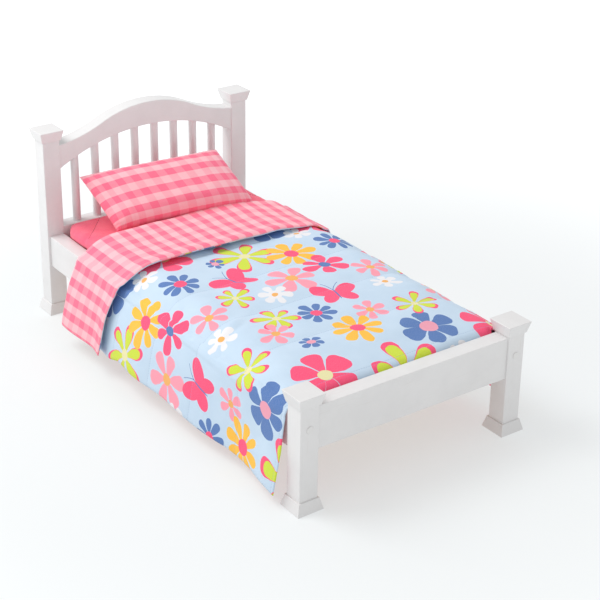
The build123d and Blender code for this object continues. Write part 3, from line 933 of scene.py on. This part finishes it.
def quilt_cloth():
    """A grid of places u across and v along the flat cloth, with where each line of it starts and ends."""
    columns, rows, foot_rows = 200, 236, 14   # faces, and how many rows lie below foot_line
    foot_line = -230.0
    across = np.linspace(-QUILT_LEFT, QUILT_RIGHT, columns + 1)
    fold, edge = edges_along_bed(across)
    end = 2 * fold + math.pi * FOLD_RADIUS - edge
    foot = QUILT_FOOT + (QUILT_NOTCH - QUILT_FOOT) * smooth_step(np.abs(across), *NOTCH_AT)
    row = np.arange(rows + 1)[:, None]
    low_part = foot + (foot_line - foot) * row / foot_rows
    high_part = foot_line + (end - foot_line) * (row - foot_rows) / (rows - foot_rows)
    v = np.where(row <= foot_rows, low_part, high_part)
    return np.broadcast_to(across, v.shape), v, foot, end


def quilt_filling(u, v, foot, end):
    """How far the two cloths stand from the middle layer: pinched at the hems and the quilting lines."""
    side_hem = np.minimum(QUILT_LEFT + u, QUILT_RIGHT - u)
    border = np.minimum(np.minimum(side_hem, end - v), v - foot)
    rim = np.sqrt(1 - np.clip(1 - border / 6.5, 0, 1) ** 2)
    panel = np.abs(np.sin(math.pi * (v - QUILT_LINE) / QUILT_PITCH))
    puff = 0.5 + 0.5 * np.clip(panel / 0.55, 0, 1) ** 0.6
    hanging = smooth_step(np.abs(u), 120.0, 150.0)
    squeezed = 1 - 0.4 * far_side(u) * smooth_step(v, 45.0, 75.0)
    half = (HALF_THICK - 0.9 * hanging) * puff * squeezed
    half = 0.35 + (half - 0.35) * rim
    billow = 1.6 * panel ** 0.9 * (1 - hanging) * smooth_step(v, 152.0, 130.0) * rim
    return half + billow, half


def build_quilt(print_material, lining_material):
    """The quilt: two cloths and their filling, tucked in at the foot and folded back at the head."""
    u, v, foot, end = quilt_cloth()
    middle = quilt_middle(u, v)
    out = np.cross(np.gradient(middle, axis=1), np.gradient(middle, axis=0))
    out /= np.linalg.norm(out, axis=2)[:, :, None]
    above, below = quilt_filling(u, v, foot, end)
    upper = middle + out * above[:, :, None]
    lower = middle - out * below[:, :, None]
    points = np.concatenate([upper.reshape(-1, 3), lower.reshape(-1, 3)])
    grid = np.arange(u.size).reshape(u.shape)
    quads, rim = grid_quads(grid), grid_rim(grid)
    following = np.roll(rim, -1)
    hem = np.stack([rim + u.size, following + u.size, following, rim], -1)
    faces = np.concatenate([quads, quads[:, ::-1] + u.size, hem])
    kinds = np.repeat([0, 1, 0], [len(quads), len(quads), len(hem)])
    flat = np.stack([u.ravel(), v.ravel(), np.zeros(u.size)], 1)
    materials = [print_material, lining_material]
    quilt = make_piece("quilt", points, faces, materials, kinds, cloth=np.concatenate([flat, flat]))
    panels = flat[quads].mean(1)
    lay_print(quilt.data, np.concatenate([panels, panels, flat[rim]])[:, :2])
    return quilt


# ---------------- stage, light and camera

FLOOR_SIZE, FLOOR_DEPTH = 9000.0, 0.05    # half its side, and how far it lies under the feet
FLOOR_TONES = (0.40, 0.425, 0.432, 1.0), (0.42, 0.445, 0.452, 1.0)
FLOOR_GLOW, FAR_GLOW = 0.48, 0.45         # emission by the bed, and what distance adds to it
GLOW_FROM, GLOW_TO = 330.0, 1300.0        # the distances between which it is added
SKY_STRENGTH = 0.7
KEY_PLACE, KEY_AIM = (-990, 760, 1820), (0, 0, 60)   # high, to the left and behind the headboard
KEY_SIZE, KEY_POWER = (1200, 1200), 25.5
CAMERA_PLACE = (-875.2, -1266.7, 847.5)
CAMERA_YAW, CAMERA_PITCH, CAMERA_ROLL = -34.42, 23.82, 0.21   # degrees; pitch is downwards
CAMERA_LENS, CAMERA_SENSOR = 90.5, 36.0
CAMERA_SHIFT = (0.0695, -0.1148)


def build_stage():
    """A pale floor that glows more with distance, so that it fades into a white background."""
    f = Finish("studio_floor", 0.9, Specular_IOR_Level=0.1)
    f.shader.inputs["Emission Color"].default_value = (1.0, 1.0, 1.0, 1.0)
    away = f.vector("LENGTH", f.here((1.0, 1.0, 0.0)))
    glow = f.plus(FLOOR_GLOW, f.times(f.ramp(away, GLOW_FROM, GLOW_TO), FAR_GLOW))
    f.feed(f.shader.inputs["Emission Strength"], glow)
    f.colour(f.mix(f.noise(f.here(), 0.002), *FLOOR_TONES))
    far = FLOOR_SIZE
    corners = [(x, y, -FLOOR_DEPTH) for x, y in ((-far, -far), (far, -far), (far, far), (-far, far))]
    floor = make_piece("studio_floor", corners, [(0, 1, 2, 3)], [f.material], smooth=False)


def soft_box(name, place, target, size, power):
    """An area light in mm, turned towards target."""
    light = bpy.data.lights.new(name, "AREA")
    light.shape = "RECTANGLE"
    light.size, light.size_y = (s * MM for s in size)
    light.energy = power
    box = bpy.data.objects.new(name, light)
    box.location = Vector(place) * MM
    box.rotation_euler = (Vector(target) - Vector(place)).to_track_quat("-Z", "Y").to_euler()
    bpy.context.scene.collection.objects.link(box)


def light_studio():
    world = bpy.data.worlds.new("studio")
    world.use_nodes = True
    sky = world.node_tree.nodes["Background"]
    sky.inputs["Color"].default_value = (1.0, 1.0, 1.0, 1.0)
    sky.inputs["Strength"].default_value = SKY_STRENGTH
    bpy.context.scene.world = world
    soft_box("key_light", KEY_PLACE, KEY_AIM, KEY_SIZE, KEY_POWER)


def place_camera():
    data = bpy.data.cameras.new("camera")
    data.sensor_width = CAMERA_SENSOR
    data.lens = CAMERA_LENS
    data.shift_x, data.shift_y = CAMERA_SHIFT
    data.clip_start, data.clip_end = 0.05, 40.0
    camera = bpy.data.objects.new("camera", data)
    yaw, pitch, roll = (math.radians(a) for a in (CAMERA_YAW, CAMERA_PITCH, CAMERA_ROLL))
    tilt = Matrix.Rotation(math.pi / 2 - pitch, 4, "X")
    turn = Matrix.Rotation(yaw, 4, "Z") @ tilt @ Matrix.Rotation(roll, 4, "Z")
    camera.matrix_world = Matrix.Translation(Vector(CAMERA_PLACE) * MM) @ turn
    bpy.context.scene.collection.objects.link(camera)
    bpy.context.scene.camera = camera
    bpy.context.scene.view_settings.view_transform = "Standard"


# ---------------- assembly

def finish_frame():
    """Gives every CAD node that stays its material."""
    paint = {axis: painted_wood(axis) for axis in "XYZ"}
    pine_along = bare_wood("bare_pine_along", "Y", dye(232, 202, 156), dye(208, 168, 116))
    pine_across = bare_wood("bare_pine_across", "X", dye(235, 206, 162), dye(210, 172, 120))
    beech = bare_wood("beech_dowel", "X", dye(214, 178, 136), dye(190, 150, 108), 0.16)
    steel, plug = plated_steel(), plug_plastic()
    rules = (
        ("headboard", paint["X"]), ("footboard", paint["X"]), ("side_rail_dowels", beech),
        ("side_rail", paint["Y"]), ("slat_ledger", pine_along), ("slat_screws", steel), ("slat", pine_across),
        ("ledger_screws", steel), ("connector_bolts", steel), ("barrel_nuts", steel),
        ("bolt_cover_plugs", plug), ("cross_rail_dowels", beech), ("end_block_dowels", beech),
        ("post", paint["Z"]), ("cap", paint["Z"]), ("foot_block", paint["Z"]), ("spindle", paint["Z"]),
    )
    for name, part in nodes.items():
        for start, material in rules:
            if name.startswith(start):
                part.data.materials.clear()
                part.data.materials.append(material)
                break


build_stage()
light_studio()
place_camera()
finish_frame()

mattress = build_mattress(ticking())
welt_cotton = plain_cotton("welt_cotton", TICKING_STRIPE, WELT_SHADE)
mattress_welt = build_welt("mattress_welt", MATTRESS_CORNER, WELT_HEIGHT, WELT_RADIUS, welt_cotton)
coral = plain_cotton("coral_cotton", CORAL, DEEP_CORAL)
coral_thread = thread("coral_thread", CORAL_THREAD)
sheet, sheet_stitches = build_sheet(coral, coral_thread)
pillow = build_pillow(checked_cotton("pillow_gingham", shift=(0.0, -10.0), strong_along=False))
quilt = build_quilt(floral_cotton(), checked_cotton("lining_gingham", shift=(0.0, 4.0)))

for piece, body, slot, replaced in (
    (mattress, "mattress", "mattress_ticking", "mattress"),
    (mattress_welt, "mattress", "mattress_ticking", None),
    (sheet, "mattress", "coral_sheet", "fitted_sheet"),
    (sheet_stitches, "mattress", "coral_sheet", None),
    (pillow, "pillow", "gingham_pillow", "pillow"),
    (quilt, "duvet", "floral_duvet", "duvet"),
):
    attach(piece, body)
    if replaced:
        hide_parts(replaced)
